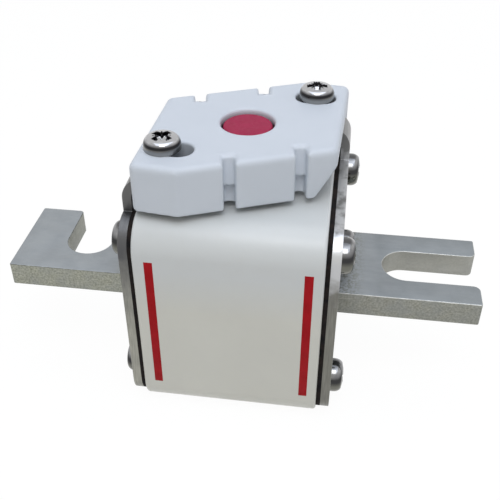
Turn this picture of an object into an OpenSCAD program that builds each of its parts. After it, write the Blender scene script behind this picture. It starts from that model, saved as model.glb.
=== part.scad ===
// Square-bodied semiconductor fuse with two blade contacts and a moulded indicator cover.
// X runs along the fuse, Y from front to back, Z up. The origin lies under the middle of the body.

/* [Ceramic body] */
// Side of the square section of the ceramic body
body_side = 52.5; // [50:0.5:56]
// Length of the ceramic body along the fuse
body_l = 41; // [36:0.5:50]
// Radius of the four long edges of the ceramic body
body_edge_r = 7.4; // [5:0.2:8]
// Radius of the round chamber that holds the fuse elements
chamber_r = 20.5; // [19:0.1:21]
// Diameter of the hole that lets the indicator wire out of the body
wire_hole_d = 5; // [3.5:0.5:6]

/* [End plates] */
// Thickness of the black gasket between body and end plate
gasket_t = 1; // [0.6:0.1:2]
// Thickness of the steel end plate and of the lug bent from it
plate_t = 2.1; // [1.5:0.1:2.6]
// How far gasket and plate stay inside the outline of the body
plate_inset = 1; // [0.4:0.1:1.6]
// Clearance round a blade where it passes through plate, gasket and disc
blade_fit = 0.05; // [0.02:0.01:0.1]

/* [Blades] */
// Width of a blade contact
blade_w = 25; // [22:0.5:27]
// Thickness of a blade contact
blade_t = 6; // [4:0.5:8]
// How far a blade's tang is set in on every side where it passes plate, gasket and disc
shoulder = 0.5; // [0.2:0.1:1]
// Length of a blade outside its end plate
blade_reach = 32.5; // [28:0.5:40]
// Width of the open bolt slot in a blade
slot_w = 11.4; // [8.5:0.1:13]
// Distance from an end plate to the centre of the bolt slot's round end
slot_centre = 15.7; // [12:0.1:17]
// Radius of the corners at the tip of a blade
tip_r = 0.5; // [0.3:0.1:3]
// Radius of the corners where the end slot opens
end_mouth_r = 1.6; // [0.5:0.1:2.4]
// Radius of the corners where the side slot opens
side_mouth_r = 1; // [0.5:0.1:2.4]

/* [Screws] */
// Thread diameter of every screw
screw_d = 4; // [3:0.1:4.5]
// Diameter of a pan head
head_d = 8; // [7:0.1:9]
// Height of a pan head
head_h = 3.1; // [2.4:0.1:3.6]
// Height of the straight rim of a pan head
head_rim = 1.4; // [0.6:0.1:1.8]
// Radius at which the flat crown of a pan head begins
crown_r = 2.8; // [2.4:0.1:3.2]
// Drop of the crown from its middle to that radius
crown_drop = 0.4; // [0.2:0.1:0.6]
// Length of an arm pair of the cross recess
recess_l = 4.6; // [3.6:0.1:5]
// Width of an arm of the cross recess
recess_w = 1.1; // [0.8:0.1:1.4]
// Depth of the cross recess
recess_depth = 1.5; // [1:0.1:2]
// Distance between the screws of an end plate, both ways
screw_pitch = 36; // [35:0.5:38]
// Length of an end plate screw under its head
screw_l = 12; // [8:0.5:14]
// Radial clearance round a screw in the hole that it passes through
screw_gap = 0.2; // [0.1:0.05:0.4]
// Radial clearance of a screw in its tapped hole
thread_gap = 0.05; // [0.02:0.01:0.1]
// Free depth past the tip of a screw in a blind hole
blind_gap = 1; // [0.5:0.1:2]

/* [Lugs] */
// Width of the lug that carries the cover
lug_w = 8.4; // [7:0.2:10]
// Height of the lug's top face over the body
lug_rise = 7.3; // [6.4:0.1:8]
// Inner radius of the bend
lug_bend_r = 3; // [0.8:0.1:3.4]
// Reach of the lug from the outer face of the plate towards the middle
lug_reach = 13.2; // [12.5:0.1:15]
// Distance from the side of the body to the middle of the lug
lug_in = 12.25; // [11.25:0.05:13.25]
// Clearance between the lug and the edges of the opening in the cover
lug_gap = 0.4; // [0.2:0.1:0.8]
// Distance from the outer face of the plate to the tapped hole in the lug
lug_hole = 8.6; // [8:0.1:9]

/* [Cover] */
// Height of the cover from the skirt to the top
cover_h = 11.2; // [10:0.1:12.8]
// Gap between body and skirt
cover_gap = 1.5; // [0.8:0.1:2]
// Thickness of the side walls of the cover
cover_wall = 1.8; // [1.2:0.1:2.2]
// Thickness of the top of the cover
cover_roof = 2.4; // [1.8:0.1:2.8]
// Shift of the cover along its slots as it was screwed down
cover_shift = 0.9; // [-1:0.1:1]
// How far the square corners of the cover reach past the ends of the body
cover_over = 1; // [0.6:0.1:1.4]
// How far the square corners stay inside the sides of the body
cover_in = 4.55; // [3.75:0.05:5.25]
// Distance of the blunt corner from the middle, along the fuse
nose_x = 11.5; // [10:0.1:13]
// How far the blunt corners stay inside the sides of the body
nose_in = 3.35; // [2.65:0.05:3.65]
// How far the narrow corners stay behind the square ones, along the fuse
waist_back = 1.3; // [0.5:0.1:2.1]
// Distance of the narrow corner from the middle, across the fuse
waist_y = 10; // [9:0.1:11]
// Radius of the upright corners of the cover
cover_corner_r = 1.6; // [1.5:0.1:2]
// Radius of the upright corners inside the cover
inner_corner_r = 0.8; // [0.4:0.1:1.2]
// Radius of the top edge of the cover
cover_edge_r = 1.4; // [0.5:0.1:1.5]
// Width of the slots that the cover screws pass
cover_slot_w = 6; // [5.2:0.1:6.6]
// Length of those slots
cover_slot_l = 9.2; // [8:0.1:9.8]
// How far the middles of those slots lie inside the tapped holes of the lugs
slot_back = 1.1; // [0.7:0.1:1.5]
// Wall round each slot under the roof
slot_wall = 1.4; // [1:0.1:1.8]
// Width of the upright grooves in the long faces
groove_w = 2.4; // [1.8:0.1:3]
// Depth of a groove in its upper part
groove_upper = 3.3; // [2.4:0.1:3.6]
// Depth of a groove in its lower part
groove_lower = 3.8; // [3.6:0.1:4.4]
// Height of the step in a groove over the skirt's lower edge
groove_step = 4.5; // [3:0.1:6]
// Angle by which the grooves lean from square to the face
groove_lean = 12; // [0:1:20]
// Distance of the first groove from the blunt corner, along the face
groove_a = 11.1; // [10:0.1:12]
// Distance of the second groove from the blunt corner, along the face
groove_b = 26.4; // [25:0.1:27]
// Height over the skirt's lower edge up to which the short sides are open
side_open_h = 6.8; // [6.2:0.1:7.2]
// Distance that the slanted end of that opening runs into the long face
side_open_run = 4.2; // [3:0.1:4.8]

/* [Indicator] */
// Diameter of the window in the cover
window_d = 12; // [11:0.1:13]
// Bevel round the window
window_bevel = 0.4; // [0.2:0.1:0.8]
// Radial clearance round the button in the window, and round its flange
button_gap = 0.5; // [0.2:0.05:0.6]
// Depth of the button's face under the top of the cover at rest
button_recess = 0.9; // [0.5:0.1:2]
// Distance that the button rises when the fuse has blown
button_travel = 5.5; // [3:0.1:5.8]
// Thickness of the button's face
button_face_t = 1.8; // [1:0.1:2.4]
// Thickness of the button's flange
flange_t = 1; // [0.8:0.1:1.4]
// How far the flange reaches past the edge of the window
flange_lap = 0.7; // [0.5:0.1:1]
// Wall and floor thickness of the cup that guides the button
cup_wall = 1.1; // [0.8:0.1:1.5]
// Mean radius of the indicator spring
spring_r = 3.2; // [2.6:0.1:3.4]
// Wire diameter of the indicator spring
spring_wire = 0.7; // [0.4:0.1:0.9]
// Turns of the indicator spring
spring_turns = 5; // [3:1:7]
// Diameter of the wire that holds the indicator down
wire_d = 0.6; // [0.4:0.1:0.8]
// Diameter of the hole for that wire in the floor of the cup
cup_hole_d = 1.4; // [1.2:0.1:2]
// Diameter of the stem inside the button that the wire holds
stem_d = 2; // [1.2:0.1:3]

/* [Inside of the body] */
// Thickness of the copper disc at each end of the chamber
disc_t = 2.5; // [1.5:0.1:4]
// Radial clearance of disc and sand in the chamber
chamber_gap = 0.15; // [0.1:0.05:0.3]
// Thickness of a fuse element
element_t = 0.3; // [0.2:0.05:0.5]
// Height of a fuse element
element_h = 26; // [20:1:28]
// Spacing of the fuse elements
element_pitch = 8; // [5:0.5:9]
// Diameter of the punched holes that leave the narrow bridges
punch_d = 4.4; // [2:0.1:5]
// Distance from hole to hole along a row
punch_pitch = 6.2; // [5.2:0.1:6.6]
// Distance between the rows of holes
row_pitch = 10; // [6:0.5:12]
// Height of the indicator wire over the middle of the chamber
wire_h = 12; // [6:0.5:15]
// Clearance between the sand and what is buried in it
sand_gap = 0.15; // [0.1:0.05:0.3]
// Diameter of the hole through which the sand is filled in
fill_d = 4.4; // [3:0.1:5]
// Place of the filling hole across the fuse
fill_y = -3; // [-6:0.5:4]
// Place of the filling hole over the middle of the plate
fill_z = 9.5; // [8:0.5:13]

/* [Hidden] */
$fn = 64;
eps = 0.01;
half_turn = 180;
elements = 4;
punch_rows = 3;
punches = 4;
spring_sides = 8;
spring_steps = 20;
post_fn = 32;

axis_z = body_side/2;
plate_in = body_l/2 + gasket_t;
plate_out = plate_in + plate_t;
plate_side = body_side - 2*plate_inset;
plate_edge_r = body_edge_r - plate_inset;
blade_tip = plate_out + blade_reach;
tang_w = blade_w - 2*shoulder;
tang_t = blade_t - 2*shoulder;
slot_x = plate_out + slot_centre;
disc_in = body_l/2 - disc_t;
disc_r = chamber_r - chamber_gap;
element_l = 2*disc_in;

lug_top = body_side + lug_rise;
lug_bend_out = lug_bend_r + plate_t;
lug_hole_x = plate_out - lug_hole;
lug_y = body_side/2 - lug_in;

skirt_z = body_side + cover_gap;
cover_top = skirt_z + cover_h;
roof_z = cover_top - cover_roof;
wide_x = body_l/2 + cover_over;
wide_y = body_side/2 - cover_in;
nose_y = body_side/2 - nose_in;
waist_x = wide_x - waist_back;
cover_slot_x = lug_hole_x - slot_back;
cover_corners = [[-wide_x, -wide_y], [-nose_x, -nose_y], [waist_x, -waist_y],
                 [wide_x, wide_y], [nose_x, nose_y], [-waist_x, waist_y]];
long_face_angle = atan2(nose_y - waist_y, nose_x + waist_x);

button_r = window_d/2 - button_gap;
flange_r = window_d/2 + flange_lap;
cup_r = flange_r + button_gap;
cup_floor_z = body_side + cup_wall;
button_top = cover_top - button_recess;
button_ceiling = button_top - button_face_t;
flange_top = roof_z - button_travel - button_gap;
spring_bore_r = spring_r + spring_wire/2 + button_gap;
spring_base = cup_floor_z + eps;
spring_top = button_ceiling - eps;
wire_top = flange_top;
wire_z = axis_z + wire_h;

// A flat outline drawn in Y and Z is carried along X, half to each side of x = 0
module along_x(length) {
    rotate([90, 0, 90]) linear_extrude(height = length, center = true) children();
}

// A flat outline drawn in X and Z is carried along Y, half to each side of y = 0
module along_y(length) {
    rotate([90, 0, 0]) linear_extrude(height = length, center = true) children();
}

// The left end of the fuse is the right end turned half round
module left_end() {
    rotate([0, 0, half_turn]) children();
}

module rounded_square(side, r) {
    square([side - 2*r, side], center = true);
    square([side, side - 2*r], center = true);
    for (sx = [-1, 1], sy = [-1, 1])
        translate([sx, sy]*(side/2 - r)) circle(r);
}

// The four screw places of an end plate, in Y and Z
module at_screws() {
    for (sy = [-1, 1], sz = [-1, 1])
        translate([0, sy*screw_pitch/2, axis_z + sz*screw_pitch/2]) children();
}

module rod_x(x0, x1, r) {
    translate([x0, 0, 0]) rotate([0, 90, 0]) cylinder(h = x1 - x0, r = r);
}

// The opening that a blade's tang passes, from x0 to x1
module blade_passage(x0, x1) {
    w = tang_w + 2*blade_fit;
    t = tang_t + 2*blade_fit;
    translate([x0, -w/2, axis_z - t/2]) cube([x1 - x0, w, t]);
}

// The filling hole for the sand, from x0 to x1
module fill_hole(x0, x1) {
    translate([0, fill_y, axis_z + fill_z]) rod_x(x0, x1, fill_d/2 + thread_gap);
}

module ceramic_body() {
    color("ivory") difference() {
        translate([0, 0, axis_z]) along_x(body_l) rounded_square(body_side, body_edge_r);
        translate([0, 0, axis_z]) rod_x(-body_l/2 - 1, body_l/2 + 1, chamber_r);
        translate([0, 0, axis_z]) cylinder(h = body_side, d = wire_hole_d);
        for (turn = [0, half_turn]) rotate([0, 0, turn]) at_screws()
            rod_x(body_l/2 - blind_hole_depth(), body_l/2 + 1, screw_d/2 + thread_gap);
    }
}

function blind_hole_depth() = screw_l - plate_t - gasket_t + blind_gap;

module gasket(filled) {
    color("#1c1c1f") difference() {
        translate([body_l/2 + gasket_t/2, 0, axis_z]) along_x(gasket_t)
            rounded_square(plate_side, plate_edge_r);
        blade_passage(body_l/2 - 1, plate_in + 1);
        at_screws() rod_x(body_l/2 - 1, plate_in + 1, screw_d/2 + screw_gap);
        if (filled) fill_hole(body_l/2 - 1, plate_in + 1);
    }
}

// The lug seen from the front: up from the plate, round the bend and in over the body
module lug_outline() {
    root_z = body_side - plate_inset - plate_edge_r;
    translate([plate_in, root_z]) square([plate_t, lug_top - lug_bend_out - root_z]);
    translate([plate_out - lug_bend_out, lug_top - lug_bend_out]) intersection() {
        difference() {
            circle(lug_bend_out);
            circle(lug_bend_r);
        }
        square(lug_bend_out);
    }
    translate([plate_out - lug_reach, lug_top - plate_t])
        square([lug_reach - lug_bend_out, plate_t]);
}

module end_plate(filled) {
    color("#b4b6b6") difference() {
        union() {
            translate([(plate_in + plate_out)/2, 0, axis_z]) along_x(plate_t)
                rounded_square(plate_side, plate_edge_r);
            translate([0, lug_y, 0]) along_y(lug_w) lug_outline();
        }
        blade_passage(plate_in - 1, plate_out + 1);
        at_screws() rod_x(plate_in - 1, plate_out + 1, screw_d/2 + screw_gap);
        translate([lug_hole_x, lug_y, lug_top - plate_t - 1])
            cylinder(h = plate_t + 2, r = screw_d/2 + thread_gap);
        if (filled) fill_hole(plate_in - 1, plate_out + 1);
    }
}

// A bar with two rounded corners at its far end
module bar_outline(x0, x1, w, r) {
    translate([x0, -w/2]) square([x1 - r - x0, w]);
    translate([x0, -w/2 + r]) square([x1 - x0, w - 2*r]);
    for (sy = [-1, 1]) translate([x1 - r, sy*(w/2 - r)]) circle(r);
}

// What a radius takes off a corner at the origin, with the bar towards -X and +Y
module corner_round(r) {
    difference() {
        translate([-r, -eps]) square(r + eps);
        translate([-r, r]) circle(r);
    }
}

// Bar with a tang whose shoulder meets the end plate; the children are cut out of its plan
module blade() {
    translate([0, 0, axis_z]) linear_extrude(height = blade_t, center = true) difference() {
        bar_outline(plate_out, blade_tip, blade_w, tip_r);
        children();
    }
    translate([disc_in, -tang_w/2, axis_z - tang_t/2])
        cube([plate_out + 1 - disc_in, tang_w, tang_t]);
}

// Blade whose bolt slot is open at the end
module blade_right() {
    color("#c3c7c9") blade() {
        translate([slot_x, 0]) circle(d = slot_w);
        translate([slot_x, -slot_w/2]) square([blade_reach, slot_w]);
        for (side = [0, 1]) mirror([0, side, 0]) translate([blade_tip, slot_w/2])
            corner_round(end_mouth_r);
    }
}

// Blade whose bolt slot is open towards the back, which makes it a hook
module blade_left() {
    color("#c3c7c9") left_end() blade() {
        translate([slot_x, 0]) circle(d = slot_w);
        translate([slot_x - slot_w/2, -blade_w]) square([slot_w, blade_w]);
        translate([slot_x, -blade_w/2]) for (side = [0, 1]) mirror([side, 0, 0])
            translate([-slot_w/2, 0]) corner_round(side_mouth_r);
    }
}

// Pan head screw that stands on z = 0 with its shank below
module pan_screw(length, d = screw_d) {
    side = [head_d/2 - crown_r, head_h - crown_drop - head_rim];
    arc = [for (a = [0:15:90]) [crown_r + side[0]*cos(a), head_rim + side[1]*sin(a)]];
    difference() {
        rotate_extrude() polygon(concat([[0, 0], [head_d/2, 0]], arc, [[0, head_h]]));
        for (turn = [45, 135]) rotate([0, 0, turn])
            translate([-recess_l/2, -recess_w/2, head_h - recess_depth])
                cube([recess_l, recess_w, head_h]);
    }
    translate([0, 0, -length]) cylinder(h = length, d = d);
}

module side_screws() {
    color("#d7d8da") at_screws() translate([plate_out, 0, 0]) rotate([0, 90, 0]) pan_screw(screw_l);
}

// The screw that closes the filling hole reaches to the inner face of the disc
module fill_plug() {
    color("#d7d8da") translate([plate_out, fill_y, axis_z + fill_z]) rotate([0, 90, 0])
        pan_screw(plate_out - disc_in, fill_d);
}

module contact_disc(filled) {
    color("#b87345") difference() {
        translate([0, 0, axis_z]) rod_x(disc_in, body_l/2, disc_r);
        blade_passage(disc_in - 1, body_l/2 + 1);
        if (filled) fill_hole(disc_in - 1, body_l/2 + 1);
    }
}

function element_y(i) = (i - (elements + 1)/2)*element_pitch;

// Silver strip whose rows of punched holes leave narrow bridges that melt
module fuse_element(i) {
    color("#dcdcdc") translate([0, element_y(i), axis_z]) along_y(element_t) difference() {
        square([element_l, element_h], center = true);
        for (row = [1:punch_rows], hole = [1:punches])
            translate([(row - (punch_rows + 1)/2)*row_pitch, (hole - (punches + 1)/2)*punch_pitch])
                circle(d = punch_d);
    }
}

module release_wire() {
    color("#c9b27c") {
        translate([0, 0, wire_z]) rod_x(-disc_in, disc_in, wire_d/2);
        translate([cover_shift, 0, wire_z]) cylinder(h = wire_top - wire_z, d = wire_d);
    }
}

// Packed quartz sand fills the chamber round everything in it
module quartz_sand() {
    color("#e3d9c2") difference() {
        translate([0, 0, axis_z])
            rod_x(-disc_in + sand_gap, disc_in - sand_gap, chamber_r - chamber_gap);
        for (i = [1:elements]) translate([0, element_y(i), axis_z])
            cube([element_l, element_t + 2*sand_gap, element_h + 2*sand_gap], center = true);
        translate([0, 0, wire_z]) rod_x(-disc_in, disc_in, wire_d/2 + sand_gap);
        translate([cover_shift, 0, wire_z]) cylinder(h = body_side, r = wire_d/2 + sand_gap);
    }
}

// Corner i of the cover's plan moved inwards by d from both faces that meet there
function unit(v) = v/norm(v);
function inward(a, b) = let (t = unit(b - a)) [-t[1], t[0]];
function inset_corner(i, d) =
    let (p = cover_corners,
         before = p[(i + 5) % 6],
         after = p[(i + 1) % 6],
         n1 = inward(before, p[i]),
         n2 = inward(p[i], after))
    p[i] + d*(n1 + n2)/(1 + n1*n2);

// Upright post with a rounded top edge
module post(r, z0, z1, edge) {
    arc = [for (a = [0:18:90]) [r - edge + edge*cos(a), z1 - edge + edge*sin(a)]];
    rim = edge > 0 ? arc : [[r, z1]];
    rotate_extrude($fn = post_fn) polygon(concat([[0, z0], [r, z0]], rim, [[0, z1]]));
}

// Six-sided block of the cover's plan, every face moved inwards by inset
module cover_block(inset, r, z0, z1, edge) {
    hull() for (i = [0:5]) translate(inset_corner(i, inset + r)) post(r, z0, z1, edge);
}

// Slot with round ends along X, centred on x and y
module obround(l, w, z0, z1) {
    for (sx = [-1, 1]) translate([sx*(l - w)/2, 0, z0]) cylinder(h = z1 - z0, d = w);
    translate([-(l - w)/2, -w/2, z0]) cube([l - w, w, z1 - z0]);
}

// Both ends of the cover are alike, each turned half round from the other
module both_ends() {
    for (turn = [0, half_turn]) rotate([0, 0, turn]) children();
}

// Frame on a long face: X along it from the blunt corner, Y into the cover
module on_long_face() {
    both_ends() translate([-nose_x, -nose_y, 0]) rotate([0, 0, long_face_angle]) children();
}

// Places of the two grooves of a long face, with Y along their depth
module at_grooves() {
    for (at = [groove_a, groove_b]) translate([at, 0, 0]) rotate([0, 0, -groove_lean]) children();
}

module groove_cuts() {
    at_grooves() translate([-groove_w/2, -1, 0]) {
        translate([0, 0, skirt_z + groove_step - eps]) cube([groove_w, groove_upper + 1, cover_h]);
        translate([0, 0, skirt_z - 1]) cube([groove_w, groove_lower + 1, groove_step + 1]);
    }
}

module groove_backs() {
    at_grooves() translate([-groove_w/2 - cover_wall, 0, skirt_z])
        cube([groove_w + 2*cover_wall, groove_lower + cover_wall, cover_h - eps]);
}

// Opening under the short side, with its slanted end in the long face
module side_opening() {
    reach = lug_y + lug_w/2 + lug_gap;
    inner = waist_x - side_open_run;
    translate([0, (reach - nose_y)/2, 0]) along_y(reach + nose_y)
        polygon([[inner - side_open_run, skirt_z - side_open_h], [waist_x, skirt_z + side_open_h],
                 [wide_x + 2, skirt_z + side_open_h], [wide_x + 2, skirt_z - side_open_h]]);
}

module indicator_cover() {
    color("#e9eef2") translate([cover_shift, 0, 0]) difference() {
        union() {
            difference() {
                cover_block(0, cover_corner_r, skirt_z, cover_top, cover_edge_r);
                difference() {
                    cover_block(cover_wall, inner_corner_r, skirt_z - 1, roof_z, 0);
                    on_long_face() groove_backs();
                }
                both_ends() side_opening();
            }
            both_ends() translate([cover_slot_x, lug_y, 0])
                obround(cover_slot_l + 2*slot_wall, cover_slot_w + 2*slot_wall, lug_top, roof_z + eps);
        }
        on_long_face() groove_cuts();
        both_ends() translate([cover_slot_x, lug_y, 0])
            obround(cover_slot_l, cover_slot_w, lug_top - 1, cover_top + 1);
        translate([0, 0, roof_z - 1]) cylinder(h = cover_roof + 2, d = window_d);
        translate([0, 0, cover_top - window_bevel])
            cylinder(h = 2*window_bevel, r1 = window_d/2, r2 = window_d/2 + 2*window_bevel);
    }
}

module cover_screw() {
    color("#d7d8da") translate([lug_hole_x, lug_y, cover_top])
        pan_screw(cover_top - lug_top + plate_t + blind_gap);
}

// Cup on the body in which the flange of the button runs
module indicator_cup() {
    color("#d9dde0") translate([cover_shift, 0, 0]) difference() {
        translate([0, 0, body_side]) cylinder(h = roof_z - body_side, r = cup_r + cup_wall);
        translate([0, 0, cup_floor_z]) cylinder(h = cover_h, r = cup_r);
        translate([0, 0, body_side - 1]) cylinder(h = cup_wall + 2, d = cup_hole_d);
    }
}

// Ring k of the spring's tube, and the tube's points one ring after the other
function spring_angle(k) = 360*k/spring_steps;
function spring_point(k, s) =
    let (a = spring_angle(k),
         b = 360*s/spring_sides,
         r = spring_r + spring_wire/2*cos(b),
         z = spring_base + spring_wire/2
             + (spring_top - spring_base - spring_wire)*k/(spring_steps*spring_turns))
    [r*cos(a), r*sin(a), z + spring_wire/2*sin(b)];

module indicator_spring() {
    rings = spring_steps*spring_turns;
    points = [for (k = [0:rings], s = [0:spring_sides - 1]) spring_point(k, s)];
    walls = [for (k = [0:rings - 1], s = [0:spring_sides - 1])
        let (n = spring_sides, t = (s + 1) % n) [k*n + s, k*n + t, (k + 1)*n + t, (k + 1)*n + s]];
    first = [for (s = [0:spring_sides - 1]) spring_sides - 1 - s];
    last = [for (s = [0:spring_sides - 1]) rings*spring_sides + s];
    color("#a9abad") translate([cover_shift, 0, 0])
        polyhedron(points, concat(walls, [first], [last]), convexity = 10);
}

// Red button: round face, skirt over the spring and a flange that stops under the roof
module indicator_button() {
    color("#b5274a") translate([cover_shift, 0, 0]) difference() {
        union() {
            translate([0, 0, flange_top - flange_t])
                cylinder(h = button_top - flange_top + flange_t, r = button_r);
            translate([0, 0, flange_top - flange_t]) cylinder(h = flange_t, r = flange_r);
        }
        translate([0, 0, flange_top - flange_t - 1]) difference() {
            cylinder(h = button_ceiling - flange_top + flange_t + 1, r = spring_bore_r);
            translate([0, 0, wire_top + button_gap - flange_top + flange_t + 1])
                cylinder(h = cover_h, d = stem_d);
        }
    }
}

// The pieces that are alike, each under its own name
module gasket_left() {
    left_end() gasket(false);
}

module gasket_right() {
    gasket(true);
}

module end_plate_left() {
    left_end() end_plate(false);
}

module end_plate_right() {
    end_plate(true);
}

module side_screws_left() {
    left_end() side_screws();
}

module side_screws_right() {
    side_screws();
}

module contact_disc_left() {
    left_end() contact_disc(false);
}

module contact_disc_right() {
    contact_disc(true);
}

module fuse_element_1() {
    fuse_element(1);
}

module fuse_element_2() {
    fuse_element(2);
}

module fuse_element_3() {
    fuse_element(3);
}

module fuse_element_4() {
    fuse_element(4);
}

module cover_screw_front() {
    left_end() cover_screw();
}

module cover_screw_back() {
    cover_screw();
}

ceramic_body();
gasket_left();
gasket_right();
end_plate_left();
end_plate_right();
blade_left();
blade_right();
side_screws_left();
side_screws_right();
fill_plug();
contact_disc_left();
contact_disc_right();
fuse_element_1();
fuse_element_2();
fuse_element_3();
fuse_element_4();
quartz_sand();
release_wire();
indicator_cover();
cover_screw_front();
cover_screw_back();
indicator_cup();
indicator_spring();
indicator_button();
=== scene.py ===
"""Looks of a square-bodied semiconductor fuse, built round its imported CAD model."""

import logging
import math
from collections.abc import Iterator
from dataclasses import dataclass
from enum import Enum

import bmesh
import bpy
import numpy as np
from mathutils import Matrix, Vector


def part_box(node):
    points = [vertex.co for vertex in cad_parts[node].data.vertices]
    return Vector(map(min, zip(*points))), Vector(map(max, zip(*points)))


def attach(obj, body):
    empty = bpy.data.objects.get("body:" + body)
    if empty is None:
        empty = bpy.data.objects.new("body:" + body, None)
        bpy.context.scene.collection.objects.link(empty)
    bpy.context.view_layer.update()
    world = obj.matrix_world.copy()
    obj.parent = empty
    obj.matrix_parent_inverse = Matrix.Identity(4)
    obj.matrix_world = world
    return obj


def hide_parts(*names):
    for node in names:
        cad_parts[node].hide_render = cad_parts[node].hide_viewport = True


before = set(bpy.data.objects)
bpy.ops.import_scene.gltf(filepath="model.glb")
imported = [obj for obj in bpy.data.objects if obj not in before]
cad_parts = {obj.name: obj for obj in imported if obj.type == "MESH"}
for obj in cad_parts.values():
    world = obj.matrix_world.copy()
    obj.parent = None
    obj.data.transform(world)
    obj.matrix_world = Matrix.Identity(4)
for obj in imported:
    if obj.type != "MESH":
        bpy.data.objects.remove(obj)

LOG = logging.getLogger("fuse")
MM = 0.001
ROOT = "root"

# Points closer than this are one: in a CAD node's mesh, and at the pole of a grid.
MERGE_CAD = 2e-6
MERGE_GRID = 1e-7
# Angles in degrees: below the first, triangles are one flat; past the second, an edge is sharp; no edge
# reaches the third.
FLAT_ANGLE = 0.4
SHARP_ANGLE = 35.0
NO_SHARP_ANGLE = 180.0
BEVEL_STEPS = 3
# Keeps a length that is divided by away from 0.
TINY = 1e-9
# A noise's value gathers near 0.5, so these parts of its range carry the soft and the wide patterns.
SOFT_SPAN = (0.35, 0.65)
WIDE_SPAN = (0.3, 0.7)

Colour = tuple[float, float, float]
Point = tuple[float, float, float]
Span = tuple[float, float]
Mesh, Piece, Socket = bpy.types.Mesh, bpy.types.Object, bpy.types.NodeSocket


def corners(node: str) -> tuple[np.ndarray, np.ndarray]:
    """Read where a CAD node lies.

    Args:
        node: Name of the CAD node.

    Returns:
        Its lowest and its highest corner, in metres.
    """
    low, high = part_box(node)
    return np.array(low), np.array(high)


def placed(name: str, data: bpy.types.ID) -> Piece:
    """Put data into the scene as an object at the origin.

    Args:
        name: Name of the object.
        data: Its mesh, lamp or camera.

    Returns:
        The object.
    """
    made = bpy.data.objects.new(name, data)
    bpy.context.scene.collection.objects.link(made)
    return made


def aimed(right: np.ndarray, up: np.ndarray, back: np.ndarray, place: Point) -> Matrix:
    """Give the matrix of a camera or lamp.

    Args:
        right: Its right axis.
        up: Its up axis.
        back: Its back axis, away from what it looks at.
        place: Where it stands.

    Returns:
        The matrix with these as its columns.
    """
    turned = np.eye(4)
    turned[:3] = np.stack([right, up, back, place], 1)
    return Matrix(turned.tolist())


# Shaders


class Nodes:
    """A node tree and the calls that fill it."""

    def __init__(self, tree: bpy.types.NodeTree) -> None:
        """Keep the tree."""
        self.tree = tree

    def feed(self, socket: Socket, value: Socket | float | tuple) -> None:
        """Fill one input.

        Args:
            socket: The input.
            value: A socket to link to it, or what it is set to.
        """
        if isinstance(value, Socket):
            self.tree.links.new(value, socket)
        else:
            socket.default_value = value

    def fill(self, node: bpy.types.Node, **inputs: Socket | float | tuple) -> bpy.types.Node:
        """Fill inputs of a node.

        Args:
            node: The node.
            **inputs: Input names, with underscores for spaces, and what fills them.

        Returns:
            The node.
        """
        for name, value in inputs.items():
            self.feed(node.inputs[name.replace("_", " ")], value)
        return node

    def add(self, kind: str, **inputs: Socket | float | tuple) -> bpy.types.Node:
        """Add a node by Blender's name for it, less ShaderNode, and fill its inputs."""
        return self.fill(self.tree.nodes.new("ShaderNode" + kind), **inputs)

    def ramp(self, value: Socket, low: float, high: float, start: float = 0.0, end: float = 1.0) -> Socket:
        """Carry a value from one range over to another, held at both ends.

        Args:
            value: The value to carry over.
            low: Where the old range starts.
            high: Where the old range ends.
            start: Where the new range starts.
            end: Where the new range ends.

        Returns:
            The carried value.
        """
        node = self.add("MapRange", Value=value, From_Min=low, From_Max=high, To_Min=start, To_Max=end)
        return node.outputs["Result"]

    def combine(self, first: Socket, second: Socket | float, how: str = "ADD") -> Socket:
        """Join two values by arithmetic.

        Args:
            first: A value.
            second: Another value, or a number.
            how: Blender's name of the operation.

        Returns:
            The result.
        """
        node = self.add("Math")
        node.operation = how
        self.feed(node.inputs[0], first)
        self.feed(node.inputs[1], second)
        return node.outputs["Value"]

    def backdrop_seen(self) -> Socket:
        """Tell rays that show the backdrop from those that only light.

        Returns:
            1 for rays from the camera, from glossy faces and through glass, and 0 for others.
        """
        rays = self.add("LightPath").outputs
        seen = self.combine(rays["Is Camera Ray"], rays["Is Glossy Ray"], "MAXIMUM")
        return self.combine(seen, rays["Is Transmission Ray"], "MAXIMUM")


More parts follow.
